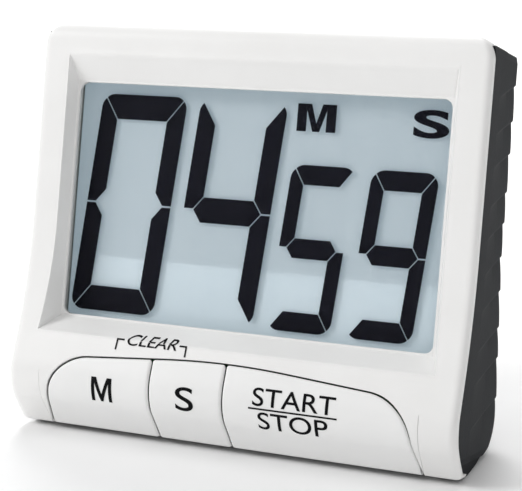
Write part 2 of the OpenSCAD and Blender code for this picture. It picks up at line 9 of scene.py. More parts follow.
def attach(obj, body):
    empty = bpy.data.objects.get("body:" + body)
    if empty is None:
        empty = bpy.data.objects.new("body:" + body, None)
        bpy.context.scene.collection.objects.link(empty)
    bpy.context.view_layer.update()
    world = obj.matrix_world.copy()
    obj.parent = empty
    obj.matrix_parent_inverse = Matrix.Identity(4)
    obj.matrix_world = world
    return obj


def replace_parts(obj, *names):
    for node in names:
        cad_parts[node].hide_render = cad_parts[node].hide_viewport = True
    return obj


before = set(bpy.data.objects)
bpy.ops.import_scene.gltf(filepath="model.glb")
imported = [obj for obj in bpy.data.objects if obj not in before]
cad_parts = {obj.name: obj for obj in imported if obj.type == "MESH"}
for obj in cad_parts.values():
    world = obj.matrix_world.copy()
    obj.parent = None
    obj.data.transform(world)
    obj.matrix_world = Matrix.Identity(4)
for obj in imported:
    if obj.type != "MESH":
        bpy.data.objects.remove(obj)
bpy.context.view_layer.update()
mm = 0.001

# The case is worked out upright, in millimetres: X across, Y back from the window, Z up from the toe.
# toRow leans it back and sets it on the floor, in metres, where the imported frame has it.
pose = {"lean": 12.0, "shiftY": -15.3261, "lift": 1.24747}


def toRow(points):
    p = np.asarray(points, float)
    s, c = math.sin(math.radians(pose["lean"])), math.cos(math.radians(pose["lean"]))
    x, y, z = p[..., 0], p[..., 1], p[..., 2]
    return np.stack([x, y * c + z * s + pose["shiftY"], z * c - y * s + pose["lift"]], -1) * mm


def turnRow(direction):
    return Vector(toRow(direction) - toRow((0, 0, 0))).normalized()


class Wire:
    # A socket with arithmetic: every operator adds one Math node.
    def __init__(self, tree, socket):
        self.tree, self.socket = tree, socket

    def math(self, operation, a, b=None):
        node = self.tree.nodes.new("ShaderNodeMath")
        node.operation = operation
        for slot, value in zip(node.inputs, (a, b)):
            if isinstance(value, Wire):
                self.tree.links.new(value.socket, slot)
            elif value is not None:
                slot.default_value = value
        return Wire(self.tree, node.outputs[0])

    def __add__(self, o): return self.math("ADD", self, o)
    def __radd__(self, o): return self.math("ADD", o, self)
    def __sub__(self, o): return self.math("SUBTRACT", self, o)
    def __rsub__(self, o): return self.math("SUBTRACT", o, self)
    def __mul__(self, o): return self.math("MULTIPLY", self, o)
    def __rmul__(self, o): return self.math("MULTIPLY", o, self)


class Finish:
    # One material with a Principled shader, and a method that adds any other node.
    def __init__(self, name):
        self.material = bpy.data.materials.new(name)
        self.material.use_nodes = True
        self.tree = self.material.node_tree
        self.shader = self.tree.nodes["Principled BSDF"]
        self.output = self.tree.nodes["Material Output"]
        self.place = self.node("ShaderNodeTexCoord").outputs["Object"]

    def node(self, kind, settings=None, values=None):
        node = self.tree.nodes.new(kind)
        for key, value in (settings or {}).items():
            setattr(node, key, value)
        for key, value in (values or {}).items():
            if isinstance(value, Wire):
                value = value.socket
            if isinstance(value, bpy.types.NodeSocket):
                self.tree.links.new(value, node.inputs[key])
            else:
                node.inputs[key].default_value = value
        return node

    def noise(self, scale, detail=3.0, rough=0.5):
        node = self.node("ShaderNodeTexNoise", None, {"Vector": self.place, "Scale": scale,
                         "Detail": detail, "Roughness": rough})
        return Wire(self.tree, node.outputs["Fac"])

    def give(self, name, value):
        slot = self.shader.inputs[name]
        if isinstance(value, Wire):
            value = value.socket
        if isinstance(value, bpy.types.NodeSocket):
            self.tree.links.new(value, slot)
        else:
            slot.default_value = value

    def twoTone(self, factor, a, b):
        node = self.node("ShaderNodeMix", {"data_type": "RGBA"}, {"Factor": factor})
        node.inputs[6].default_value, node.inputs[7].default_value = (*a, 1), (*b, 1)
        return node.outputs[2]

    def bump(self, height, depth):
        node = self.node("ShaderNodeBump", None, {"Height": height, "Strength": 1.0, "Distance": depth})
        self.give("Normal", node.outputs["Normal"])


# Moulded plastics, metals and the rest: two close tones, a roughness that wanders, a fine grain.
# tone a, tone b, roughness, roughness spread, metallic, grain scale, grain depth in metres, coat
finishes = {
    "whiteShell": ((0.80, 0.795, 0.785), (0.86, 0.857, 0.85), 0.42, 0.12, 0, 2600, 1.6e-5, 0.0),
    "whiteKey": ((0.81, 0.81, 0.805), (0.865, 0.865, 0.86), 0.38, 0.10, 0, 2600, 1.2e-5, 0.0),
    "blackShell": ((0.010, 0.011, 0.013), (0.016, 0.018, 0.021), 0.60, 0.14, 0, 2200, 2.6e-5, 0.0),
    "blackStand": ((0.020, 0.022, 0.025), (0.030, 0.033, 0.037), 0.50, 0.12, 0, 2400, 2.0e-5, 0.0),
    "ink": ((0.002, 0.002, 0.006), (0.004, 0.004, 0.010), 0.75, 0.08, 0, 1500, 1e-6, 0.0),
    "labelInk": ((0.004, 0.004, 0.005), (0.008, 0.008, 0.009), 0.55, 0.1, 0, 3000, 2e-6, 0.0),
    "holderPlastic": ((0.66, 0.66, 0.64), (0.74, 0.74, 0.72), 0.5, 0.1, 0, 1800, 1e-5, 0.0),
    "greyRubber": ((0.20, 0.21, 0.22), (0.27, 0.28, 0.29), 0.8, 0.1, 0, 1500, 2e-5, 0.0),
    "boardGreen": ((0.010, 0.075, 0.028), (0.018, 0.11, 0.045), 0.32, 0.1, 0, 700, 1e-5, 0.4),
    "epoxy": ((0.008, 0.008, 0.009), (0.018, 0.018, 0.02), 0.22, 0.12, 0, 500, 3e-5, 0.5),
    "brightMetal": ((0.62, 0.62, 0.61), (0.74, 0.74, 0.73), 0.22, 0.14, 1, 1600, 4e-6, 0.0),
    "brownCeramic": ((0.28, 0.12, 0.04), (0.38, 0.18, 0.07), 0.4, 0.1, 0, 1200, 1e-5, 0.2),
    "paleCeramic": ((0.58, 0.57, 0.53), (0.70, 0.69, 0.65), 0.55, 0.1, 0, 1800, 1e-5, 0.0),
    "rolledBrass": ((0.55, 0.37, 0.11), (0.68, 0.48, 0.17), 0.3, 0.14, 1, 1400, 4e-6, 0.0),
    "carbonPad": ((0.010, 0.010, 0.010), (0.022, 0.022, 0.022), 0.85, 0.1, 0, 2500, 1e-5, 0.0),
    "redWire": ((0.32, 0.010, 0.010), (0.42, 0.018, 0.016), 0.4, 0.1, 0, 1200, 5e-6, 0.0),
    "blackWire": ((0.012, 0.012, 0.012), (0.024, 0.024, 0.024), 0.4, 0.1, 0, 1200, 5e-6, 0.0),
    "cellWrap": ((0.020, 0.075, 0.20), (0.032, 0.10, 0.26), 0.28, 0.08, 0, 900, 3e-6, 0.4),
    "zincSteel": ((0.42, 0.43, 0.44), (0.55, 0.56, 0.57), 0.34, 0.14, 1, 1700, 6e-6, 0.0),
    "paleFloor": ((0.93, 0.93, 0.93), (0.95, 0.95, 0.95), 0.75, 0.06, 0, 60, 1e-5, 0.0),
}

shine = {"blackShell": 0.07, "blackStand": 0.12, "ink": 0.08, "labelInk": 0.05, "paleFloor": 0.1,
         "whiteShell": 0.35, "whiteKey": 0.4}


def solidFinish(name):
    toneA, toneB, rough, spread, metal, scale, depth, coat = finishes[name]
    f = Finish(name)
    wide, fine = f.noise(90, 4), f.noise(scale, 2)
    f.give("Base Color", f.twoTone(wide, toneA, toneB))
    f.give("Roughness", rough - spread / 2 + spread * (0.6 * wide + 0.4 * fine))
    f.give("Metallic", float(metal))
    f.give("Coat Weight", coat)
    f.give("Specular IOR Level", shine.get(name, 0.5))
    f.bump(fine, depth)
    return f.material


def clearFinish(name, tint, gloss, haze):
    # Clear sheet: mostly see-through, with a thin share of polished surface that grows at grazing angles.
    f = Finish(name)
    f.give("Base Color", (*tint, 1))
    f.give("Roughness", haze + 0.03 * f.noise(400, 2))
    see = f.node("ShaderNodeBsdfTransparent", None, {"Color": (*tint, 1)})
    rim = f.node("ShaderNodeFresnel", None, {"IOR": 1.45})
    share = Wire(f.tree, rim.outputs["Fac"]) * gloss
    mix = f.node("ShaderNodeMixShader", None, {0: share, 1: see.outputs[0], 2: f.shader.outputs[0]})
    f.tree.links.new(mix.outputs[0], f.output.inputs["Surface"])
    return f.material


def reflectorFinish():
    # Pale blue-grey film behind the glass, with a fine sparkle of lighter and darker grains, and a weak
    # emission that is painted glow.
    f = Finish("displayFilmAndPaintedGlow")
    grain, cloud = f.noise(5200, 2, 0.7), f.noise(45, 3)
    f.give("Base Color", f.twoTone(0.75 * grain + 0.25 * cloud, (0.80, 0.86, 0.89), (0.97, 0.985, 0.995)))
    f.give("Roughness", 0.42 + 0.2 * grain)
    f.bump(grain, 8e-6)
    f.give("Emission Color", (0.53, 0.66, 0.74, 1))  # painted glow: a weak emission makes the film shine back towards the viewer as if more brightly lit
    f.give("Emission Strength", 0.09)
    return f.material


skins = {name: solidFinish(name) for name in finishes}
skins["displayFilmAndPaintedGlow"] = reflectorFinish()
skins["windowSheet"] = clearFinish("windowSheet", (0.995, 0.997, 0.998), 0.05, 0.03)
skins["displayGlass"] = clearFinish("displayGlass", (0.996, 0.998, 0.998), 0.02, 0.04)
skins["filmSheet"] = clearFinish("filmSheet", (0.985, 0.99, 0.993), 0.02, 0.08)
print("finishes made:", len(skins))


def gridFaces(rows, cols, keep=None):
    # One quad for each cell of a rows by cols grid of points, except where keep is false.
    i, j = np.meshgrid(np.arange(rows - 1), np.arange(cols - 1), indexing="ij")
    a = i * cols + j
    quads = np.stack([a, a + 1, a + cols + 1, a + cols], -1)
    return (quads if keep is None else quads[keep]).reshape(-1, 4)


def meshPiece(name, points, faces, skin, body, smooth=True, thick=0.0, bevel=0.0):
    # Puts the arrays in a mesh, gives it a wall if asked, and makes it ride on its body.
    mesh = bpy.data.meshes.new(name)
    mesh.from_pydata(toRow(points).reshape(-1, 3).tolist(), [], np.asarray(faces).tolist())
    used = bmesh.new()
    used.from_mesh(mesh)
    bmesh.ops.delete(used, geom=[v for v in used.verts if not v.link_faces], context="VERTS")
    bmesh.ops.remove_doubles(used, verts=used.verts, dist=1e-6)
    used.to_mesh(mesh)
    used.free()
    piece = bpy.data.objects.new(name, mesh)
    bpy.context.scene.collection.objects.link(piece)
    mesh.shade_smooth() if smooth else mesh.shade_flat()
    mesh.materials.append(skins[skin])
    if thick:
        wall = piece.modifiers.new("wall", "SOLIDIFY")
        wall.thickness, wall.offset, wall.use_even_offset = thick * mm, -1, False
    if bevel:
        edge = piece.modifiers.new("edge", "BEVEL")
        edge.width, edge.segments, edge.limit_method = bevel * mm, 2, "ANGLE"
    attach(piece, body)
    return piece


def flatPiece(name, points, faces, skin, body):
    # Puts flat lettering or plates in a mesh as they are, and makes them ride on their body.
    mesh = bpy.data.meshes.new(name)
    mesh.from_pydata(toRow(points).tolist(), [], faces)
    piece = bpy.data.objects.new(name, mesh)
    bpy.context.scene.collection.objects.link(piece)
    mesh.materials.append(skins[skin])
    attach(piece, body)
    return piece


def roundedPath(corners, arcSteps=24):
    # A polyline whose corners (a, b, radius) are replaced by arcs that touch both straight sides.
    pts = [np.array(corners[0][:2], float)]
    for k in range(1, len(corners) - 1):
        p0, p1, p2 = (np.array(corners[k + d][:2], float) for d in (-1, 0, 1))
        u, v = (p0 - p1) / np.linalg.norm(p0 - p1), (p2 - p1) / np.linalg.norm(p2 - p1)
        r, turn = corners[k][2], math.pi - math.acos(float(np.clip(u @ v, -1, 1)))
        if r <= 0 or turn < 1e-4:
            pts.append(p1)
            continue
        reach = r * math.tan(turn / 2)
        mid = (u + v) / np.linalg.norm(u + v)
        centre = p1 + mid * math.hypot(reach, r)
        a, b = p1 + u * reach - centre, p1 + v * reach - centre
        w = np.linspace(0, 1, arcSteps)[:, None]
        arc = (np.sin((1 - w) * turn) * a + np.sin(w * turn) * b) / math.sin(turn)
        pts.extend(centre + arc)
    pts.append(np.array(corners[-1][:2], float))
    return np.array(pts)


def smoothMax(a, b, k):
    # The larger of two fields, blended over a width k where they cross.
    return 0.5 * (a + b + np.sqrt((a - b) ** 2 + k * k)) - 0.5 * k * np.exp(-((a - b) / k) ** 2)


front = {"halfWidth": 42.47, "height": 74.5, "hold": 0.045, "toeRim": 0.6,
         "faceY": -2.6, "bendZ": 27.1, "bellyY": -7.46,
         "bellyZ": 7.46, "topRadius": 3.2, "bendRadius": 90, "bellyRadius": 8, "toeRadius": 1.0,
         "backTop": 2.9, "backToe": 2.5, "edgeRadius": 1.35, "rim": 1.5, "cornerRadius": 4.5,
         "wall": 1.0}
window = {"halfWidth": 35.6, "foot": 20.5, "top": 63.5, "edge": 0.3, "sideDraft": 0.385,
          "topRun": 4.6, "topDepth": 2.6, "footRun": 2.7, "footDepth": 4.9,
          "blend": 0.35, "cornerRadius": 1.6}
arch = {"halfWidth": 36.4, "height": 15.9, "shoulderX": 33.2, "shoulderZ": 13.3, "gap": 0.25}

sidePath = roundedPath([(front["backTop"], front["height"], 0),
                        (front["faceY"], front["height"], front["topRadius"]),
                        (front["faceY"], front["bendZ"], front["bendRadius"]),
                        (front["bellyY"], front["bellyZ"], front["bellyRadius"]),
                        (0, 0, front["toeRadius"]), (front["backToe"], 0, 0)])
sideStep = np.linalg.norm(np.diff(sidePath, axis=0), axis=1)
sideAt = np.concatenate([[0], np.cumsum(sideStep)])
dense = np.linspace(0, sideAt[-1], 4000)
pathY, pathZ = np.interp(dense, sideAt, sidePath[:, 0]), np.interp(dense, sideAt, sidePath[:, 1])
tangent = np.stack([np.gradient(pathY, dense), np.gradient(pathZ, dense)], 1)
tangent /= np.linalg.norm(tangent, axis=1)[:, None]
inwardY, inwardZ = -tangent[:, 1], tangent[:, 0]  # the path runs forward over the top and down


def alongFor(z):
    # How far along the side view the front is at height z, counted from the back of the top.
    falling = slice(int(np.argmax(pathY < 0)), int(np.argmax(pathZ < 0.02)))
    return np.interp(-np.asarray(z, float), -pathZ[falling], dense[falling])


def recessDepth(x, z):
    # Depth of the flared surround: zero in the window, falling outward at its own rate on each side.
    side = (np.abs(x) - window["halfWidth"] - window["edge"]) / window["sideDraft"]
    top = (z - window["top"] - window["edge"]) * window["topDepth"] / window["topRun"]
    foot = (window["foot"] - window["edge"] - z) * window["footDepth"] / window["footRun"]
    out = smoothMax(smoothMax(side, top, 0.5), foot, 0.5)
    return -np.maximum(smoothMax(out, 0 * out, 0.2), 0)


def skinPoint(x, s, inset, recessed=True, lift=0.0):
    # A point of the front: the side view at s, moved inward by inset, carried across to x.
    held = inset + front["hold"]
    y = np.interp(s, dense, pathY) + np.interp(s, dense, inwardY) * held
    z = np.interp(s, dense, pathZ) + np.interp(s, dense, inwardZ) * held
    if recessed:
        open_ = (z > 16.2) & (z < 70.5)
        y = np.where(open_, smoothMax(y, recessDepth(x, z), window["blend"]), y)
    return np.stack([x, y + np.interp(s, dense, inwardY) * -lift, z], -1)


def cornerWidth(z):
    # Half width of the front at height z: full, then a quarter circle into the top.
    r = front["cornerRadius"]
    up = np.clip(z - (front["height"] - r), 0, r)
    return front["halfWidth"] - (r - np.sqrt(np.maximum(r * r - up * up, 0)))


archLine = roundedPath([(-arch["halfWidth"], -2, 0), (-arch["shoulderX"], arch["shoulderZ"], 8.5),
                        (0, arch["height"], 150), (arch["shoulderX"], arch["shoulderZ"], 8.5),
                        (arch["halfWidth"], -2, 0)])


def archTop(x):
    # Height of the arch above the keys at x, the same on both sides of the middle.
    return np.interp(np.abs(x), archLine[::-1][:, 0][archLine[::-1][:, 0].argsort()],
                     archLine[::-1][:, 1][archLine[::-1][:, 0].argsort()])


def makeFront():
    # Columns run across X and rows down the side view; rows bend to follow the arch above the keys.
    h, r = front["halfWidth"], front["edgeRadius"]
    inner = np.concatenate([np.linspace(0, 33.0, 40), np.arange(33.1, 38.0, 0.1),
                            [35.6, 35.98], np.linspace(38.0, h - r, 10)])
    inner = np.unique(np.round(inner, 4))
    theta = np.linspace(0, math.pi / 2, 9)[1:]
    offset = np.concatenate([h - inner, r - r * np.sin(theta), [0.0]])
    inset = np.concatenate([0 * inner, r - r * np.cos(theta), [front["rim"]]])
    offset = np.concatenate([offset[::-1], offset[1:]])
    inset = np.concatenate([inset[::-1], inset[1:]])
    sign = np.concatenate([-np.ones(len(offset) // 2 + 1), np.ones(len(offset) // 2)])
    lineZ = 17.0
    sLine = float(alongFor(lineZ))
    upper = np.concatenate([np.linspace(0, float(alongFor(69.5)), 34),
                            np.linspace(float(alongFor(69.5)), float(alongFor(63.5)), 40)[1:],
                            np.linspace(float(alongFor(63.5)), float(alongFor(61.9)), 18)[1:],
                            np.linspace(float(alongFor(61.9)), float(alongFor(22.1)), 40)[1:],
                            np.linspace(float(alongFor(22.1)), float(alongFor(20.5)), 18)[1:],
                            np.linspace(float(alongFor(20.5)), sLine, 34)[1:]])
    nominal = sign * (h - offset)
    edge = np.where(np.abs(nominal) < 35.98, alongFor(np.maximum(archTop(nominal), 0.05)), dense[-1])
    t = np.linspace(0, 1, 60)[1:, None]
    s = np.concatenate([np.repeat(upper[:, None], len(nominal), 1), sLine + (edge - sLine)[None] * t])
    # the rim is shallower at the toe, where a full inset would fold over the toe's own radius
    ease = np.interp(s, [float(alongFor(8.0)), float(alongFor(3.0))], [1.0, front["toeRim"]])
    insets = inset[None] * ease
    flat = skinPoint(np.repeat(nominal[None], len(s), 0), s, insets)
    squeeze = cornerWidth(flat[..., 2]) / h
    share = np.clip((np.abs(nominal) - 30) / 12.5, 0, 1)[None]
    flat[..., 0] = flat[..., 0] * (1 - share * (1 - squeeze))
    zMid = 0.25 * (flat[:-1, :-1, 2] + flat[1:, :-1, 2] + flat[:-1, 1:, 2] + flat[1:, 1:, 2])
    xMid = 0.5 * (nominal[:-1] + nominal[1:])[None]
    r0 = window["cornerRadius"]
    # a cell is in the window where its distance past the window's inner box is under the corner radius
    middle, half = (window["top"] + window["foot"]) / 2, (window["top"] - window["foot"]) / 2
    qx = np.maximum(np.abs(xMid) - (window["halfWidth"] - r0), 0)
    qz = np.maximum(np.abs(zMid - middle) - (half - r0), 0)
    keep = ~((qx ** 2 + qz ** 2 < r0 * r0) & (s[:-1, :-1] > 8))
    jump = np.abs(np.diff(s, axis=1))  # where the arch meets the foot, neighbours run apart
    keep &= np.maximum(jump[:-1], jump[1:]) < 1.0
    faces = gridFaces(*s.shape, keep)
    shell = meshPiece("frontSkin", flat, faces[:, ::-1], "whiteShell", "case",
                      thick=front["wall"])
    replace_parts(shell, "front_shell")
    return shell


frontSkin = makeFront()
print("front shell made:", len(frontSkin.data.polygons), "faces")


keys = {"divide": (-35.4, -13.8, 0.4, 35.4), "gap": 0.25, "edgeRadius": 0.55, "cornerRadius": 0.5,
        "toe": 1.3, "wall": 1.5}
keyNames = ("button_minutes", "button_seconds", "button_start_stop")


def makeKey(index):
    # Each key is the same skin, cut to its share of the arch, with its own border rounded over.
    x0 = keys["divide"][index] + (keys["gap"] / 2 if index else 0)
    x1 = keys["divide"][index + 1] - (keys["gap"] / 2 if index < 2 else 0)
    ease = 0.5 - 0.5 * np.cos(np.linspace(0, math.pi, 110))
    x = x0 + (x1 - x0) * ease
    nearest = np.minimum(x - x0 if index else x * 0 + 9, x1 - x if index < 2 else x * 0 + 9)
    c = keys["cornerRadius"]
    dip = np.where(nearest < c, c - np.sqrt(np.maximum(c * c - (c - nearest) ** 2, 0)), 0)
    top = archTop(np.abs(x) + keys["gap"]) - keys["gap"] - dip
    slope = np.gradient(top, x)
    upright = 1 / np.sqrt(1 + slope ** 2)
    sTop = alongFor(np.maximum(top, 0.3))
    sToe = dense[-1] - (front["backToe"] - keys["toe"])
    t = (0.5 - 0.5 * np.cos(np.linspace(0, math.pi, 90)))[:, None]
    s = sTop[None] + (sToe - sTop)[None] * t
    border = np.minimum(nearest[None], (s - sTop[None]) * upright[None] + 0.02)
    r = keys["edgeRadius"]
    d = np.clip(border, 0, r)
    inset = r - np.sqrt(np.maximum(r * r - (r - d) ** 2, 0))
    points = skinPoint(np.repeat(x[None], len(t), 0), s, inset + 0.02, recessed=False)
    key = meshPiece(keyNames[index] + "_cap", points, gridFaces(*s.shape)[:, ::-1], "whiteKey",
                    keyNames[index], thick=keys["wall"])
    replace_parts(key, keyNames[index])
    return key


for index in range(3):
    makeKey(index)
print("keys made")


labels = {"lift": 0.035, "shellLift": 2.2, "cut": 0.35, "stroke": 0.3}
labelPlan = [  # words, x from, x to, z from, z to, body, slant, weight
    ("M", -25.1, -21.0, 5.9, 10.3, "button_minutes", 0, 0.004),
    ("S", -8.4, -4.9, 6.2, 10.5, "button_seconds", 0, 0.004),
    ("START", 6.3, 21.4, 8.9, 12.1, "button_start_stop", 0, 0.004),
    ("STOP", 7.3, 20.1, 4.8, 7.9, "button_start_stop", 0, 0.004),
    ("CLEAR", -19.2, -9.4, 16.5, 18.4, "case", 0.2, 0.008)]


def letterM(leg):
    # A plain M in a unit square: two upright legs and a V that meets the base line.
    outline = [(0, 0), (0, 1), (leg * 1.45, 1), (0.5, 0.30), (1 - leg * 1.45, 1), (1, 1), (1, 0),
               (1 - leg, 0), (1 - leg, 0.76), (0.5 + leg * 0.36, 0), (0.5 - leg * 0.36, 0),
               (leg, 0.76), (leg, 0)]
    bm = bmesh.new()
    bm.faces.new([bm.verts.new((*p, 0)) for p in outline])
    bmesh.ops.triangulate(bm, faces=bm.faces[:])
    return bm


def wordMesh(words, weight=0.0, slant=0.0):
    # Flat lettering from the built-in face, as a bmesh in its own X and Y.
    if words == "M":
        return letterM(0.15 + 3.2 * weight)
    curve = bpy.data.curves.new("word", "FONT")
    curve.body, curve.size, curve.offset, curve.shear = words, 1.0, weight, slant
    holder = bpy.data.objects.new("word", curve)
    bpy.context.scene.collection.objects.link(holder)
    bpy.context.view_layer.update()
    made = bpy.data.meshes.new_from_object(holder)
    bm = bmesh.new()
    bm.from_mesh(made)
    bpy.data.objects.remove(holder)
    bpy.data.curves.remove(curve)
    bpy.data.meshes.remove(made)
    return bm


def fitted(bm, x0, x1, z0, z1):
    # The flat shape's points, stretched to fill the box from x0, z0 to x1, z1.
    co = np.array([v.co[:] for v in bm.verts])
    lo, hi = co[:, :2].min(0), co[:, :2].max(0)
    u = (co[:, :2] - lo) / (hi - lo)
    return np.stack([x0 + u[:, 0] * (x1 - x0), z0 + u[:, 1] * (z1 - z0)], -1)


def wrapLabel(name, bm, x0, x1, z0, z1, body, recessed):
    # Cuts the flat shape into thin strips, then lays every point on the front, a hair proud of it.
    flat = fitted(bm, x0, x1, z0, z1)
    for v, p in zip(bm.verts, flat):
        v.co = (p[0], 0, p[1])
    bmesh.ops.triangulate(bm, faces=bm.faces[:])
    for z in np.arange(z0, z1, labels["cut"])[1:]:
        bmesh.ops.bisect_plane(bm, geom=bm.verts[:] + bm.edges[:] + bm.faces[:],
                               plane_co=(0, 0, z), plane_no=(0, 0, 1))
    bm.verts.ensure_lookup_table()
    co = np.array([v.co[:] for v in bm.verts])
    points = skinPoint(co[:, 0], alongFor(co[:, 2]), 0 * co[:, 0], recessed,
                       labels["lift"] * (labels["shellLift"] if recessed else 1))
    faces = [[v.index for v in f.verts] for f in bm.faces]
    normals = np.array([f.normal[1] for f in bm.faces])
    if normals.sum() > 0:
        faces = [f[::-1] for f in faces]
    bm.free()
    flatPiece(name, points, faces, "labelInk", body)


def strokeMesh(polyline, width):
    # A line of constant width through the points, mitred at each corner, as a flat bmesh.
    p = np.array(polyline, float)
    d = np.diff(p, axis=0)
    d /= np.linalg.norm(d, axis=1)[:, None]
    n = np.stack([-d[:, 1], d[:, 0]], 1)
    m = np.concatenate([n[:1], n[:-1] + n[1:], n[-1:]])
    m /= (m * np.concatenate([n[:1], n])[: len(m)]).sum(1)[:, None]
    bm = bmesh.new()
    left = [bm.verts.new((*q, 0)) for q in p + m * width / 2]
    right = [bm.verts.new((*q, 0)) for q in p - m * width / 2]
    for k in range(len(p) - 1):
        bm.faces.new((left[k], right[k], right[k + 1], left[k + 1]))
    bm.normal_update()
    return bm


for words, x0, x1, z0, z1, body, slant, weight in labelPlan:
    wrapLabel("label_" + words, wordMesh(words, weight, slant), x0, x1, z0, z1, body, body == "case")
for name, line, body in (("rule", [(5.6, 8.4), (21.8, 8.4)], "button_start_stop"),
                         ("bracketLeft", [(-21.3, 15.5), (-21.2, 17.4), (-19.8, 17.4)], "case"),
                         ("bracketRight", [(-8.9, 17.4), (-7.6, 17.4), (-7.6, 15.6)], "case")):
    bm = strokeMesh(line, labels["stroke"])
    co = np.array([v.co[:] for v in bm.verts])
    wrapLabel("label_" + name, bm, co[:, 0].min(), co[:, 0].max(), co[:, 1].min(), co[:, 1].max(),
              body, body == "case")
print("labels made")


display = {"planeY": 3.28, "thick": 0.1, "slant": 0.093, "baseZ": 21.4, "round": 2.3}
litBars = {0: (0, 1, 2, 3, 4, 5), 4: (1, 2, 5, 6), 5: (0, 2, 3, 5, 6), 9: (0, 1, 2, 3, 5, 6)}
digitPlan = [  # digit, x, width, height, upright stroke, level stroke, gap
    (0, -36.0, 17.3, 40.4, 3.5, 4.6, 0.16), (4, -16.0, 17.0, 40.4, 3.5, 4.6, 0.16),
    (5, 3.7, 12.1, 29.6, 2.6, 3.5, 0.14), (9, 18.6, 12.1, 29.6, 2.6, 3.5, 0.14)]


def arcPoints(cx, cz, r, a0, a1, dx, dz):
    # Points of a circle from angle a0 to a1 in degrees, all moved by dx and dz.
    a = np.radians(np.linspace(a0, a1, 6))
    return [(cx + r * c + dx, cz + r * s + dz) for c, s in zip(np.cos(a), np.sin(a))]


def barOutline(i, w, h, sx, sz, g):
    # The seven mitred bars of a digit: 0 top, 1 and 2 right, 3 foot, 4 and 5 left, 6 middle.
    # Two bars share each outer corner, a quarter circle that the gap between them splits.
    m, k, r = h / 2, sz / 2, display["round"]
    return {
        0: arcPoints(r, h - r, r, 135, 90, g, 0) + arcPoints(w - r, h - r, r, 90, 45, -g, 0)
        + [(w - sx - g, h - sz), (sx + g, h - sz)],
        1: arcPoints(w - r, h - r, r, 45, 0, 0, -g)
        + [(w, m + g), (w - sx / 2, m + g), (w - sx, m + k + g), (w - sx, h - sz - g)],
        2: [(w, m - g)] + arcPoints(w - r, r, r, 0, -45, 0, g)
        + [(w - sx, sz + g), (w - sx, m - k - g), (w - sx / 2, m - g)],
        3: arcPoints(r, r, r, 225, 270, g, 0) + arcPoints(w - r, r, r, 270, 315, -g, 0)
        + [(w - sx - g, sz), (sx + g, sz)],
        4: [(0, m - g)] + arcPoints(r, r, r, 180, 225, 0, g)
        + [(sx, sz + g), (sx, m - k - g), (sx / 2, m - g)],
        5: [(0, m + g), (sx / 2, m + g), (sx, m + k + g), (sx, h - sz - g)]
        + arcPoints(r, h - r, r, 135, 180, 0, -g),
        6: [(sx / 2 + g, m), (sx + g, m + k), (w - sx - g, m + k), (w - sx / 2 - g, m),
            (w - sx - g, m - k), (sx + g, m - k)]}[i]


def makeDigits():
    # Every lit bar is its outline, sheared to the display's slant, with a front and a back face.
    points, faces = [], []

    def plate(outline):
        n, base = len(outline), len(points)
        area = sum(outline[k][0] * outline[(k + 1) % n][1] - outline[(k + 1) % n][0] * outline[k][1]
                   for k in range(n))
        ring = outline if area > 0 else outline[::-1]
        for y in (display["planeY"], display["planeY"] + display["thick"]):
            points.extend((p[0], y, p[1]) for p in ring)
        faces.append(list(range(base, base + n)))
        faces.append(list(range(base + 2 * n - 1, base + n - 1, -1)))
        faces.extend([base + k, base + n + k, base + n + (k + 1) % n, base + (k + 1) % n]
                     for k in range(n))

    for digit, x, w, h, sx, sz, g in digitPlan:
        for bar in litBars[digit]:
            path = barOutline(bar, w, h, sx, sz, g)
            plate([(x + p[0] + display["slant"] * p[1], display["baseZ"] + p[1]) for p in path])
    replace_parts(flatPiece("digits", points, faces, "ink", "case"), "lcd_segments")
    for words, x0, x1 in (("M", 6.6, 13.9), ("S", 28.0, 34.4)):
        bm = wordMesh(words, 0.03)
        flat = fitted(bm, x0, x1, 56.9, 61.8)
        spots = np.stack([flat[:, 0], 0 * flat[:, 0] + display["planeY"], flat[:, 1]], -1)
        outlineFaces = [[v.index for v in f.verts] for f in bm.faces]
        bm.free()
        flatPiece("mark" + words, spots, outlineFaces, "ink", "case")


makeDigits()
print("display made")


back = {"pullIn": 0.55, "sideX": 41.72, "proud": 0.70, "crease": 0.4,
        "foot": 2.6, "top": 72.6, "margin": 1.2,
        "notches": (67.8, 61.6, 55.9, 49.2, 43.8, 37.9, 31.9, 25.4, 20.0, 12.7, 6.3),
        "backY": 15.8, "bulgeY": 13.35, "bulgeZ": 10.4, "bulgeRadius": 8.0}


def makeBack():
    # A merged copy of the CAD shell, its flat sides drawn in to leave room for the ribbed skins.
    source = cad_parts["rear_shell"]
    mesh = source.data.copy()
    mesh.name = "backShell"
    bm = bmesh.new()
    bm.from_mesh(mesh)
    bmesh.ops.remove_doubles(bm, verts=bm.verts, dist=2e-6)
    for v in bm.verts:
        if abs(v.co.x) > 42.2 * mm:
            v.co.x = math.copysign(abs(v.co.x) - back["pullIn"] * mm, v.co.x)
    bm.to_mesh(mesh)
    bm.free()
    piece = bpy.data.objects.new("backShell", mesh)
    bpy.context.scene.collection.objects.link(piece)
    mesh.materials.clear()
    mesh.materials.append(skins["blackShell"])
    mesh.shade_flat()
    edge = piece.modifiers.new("edge", "BEVEL")
    edge.width, edge.segments, edge.limit_method, edge.angle_limit = 0.15 * mm, 2, "ANGLE", 0.7
    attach(piece, "case")
    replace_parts(piece, "rear_shell")


def sideEdges(z):
    # Where the black side begins and ends at height z: behind the white rim, and the rear outline.
    s = alongFor(z)
    begin = np.interp(s, dense, pathY) + np.interp(s, dense, inwardY) * (front["rim"] - 0.05)
    circle = back["bulgeY"] + np.sqrt(np.maximum(back["bulgeRadius"] ** 2 - (z - back["bulgeZ"]) ** 2, 0))
    ramp = back["backY"] + np.clip((38.0 - z) / 32.8, 0, 1) * 6.6
    end = np.where(z < back["bulgeZ"] + 2, circle, np.minimum(ramp, np.where(z < 18, 21.2, 99)))
    return begin + 0.05, np.maximum(end - 0.1, begin + 0.6)


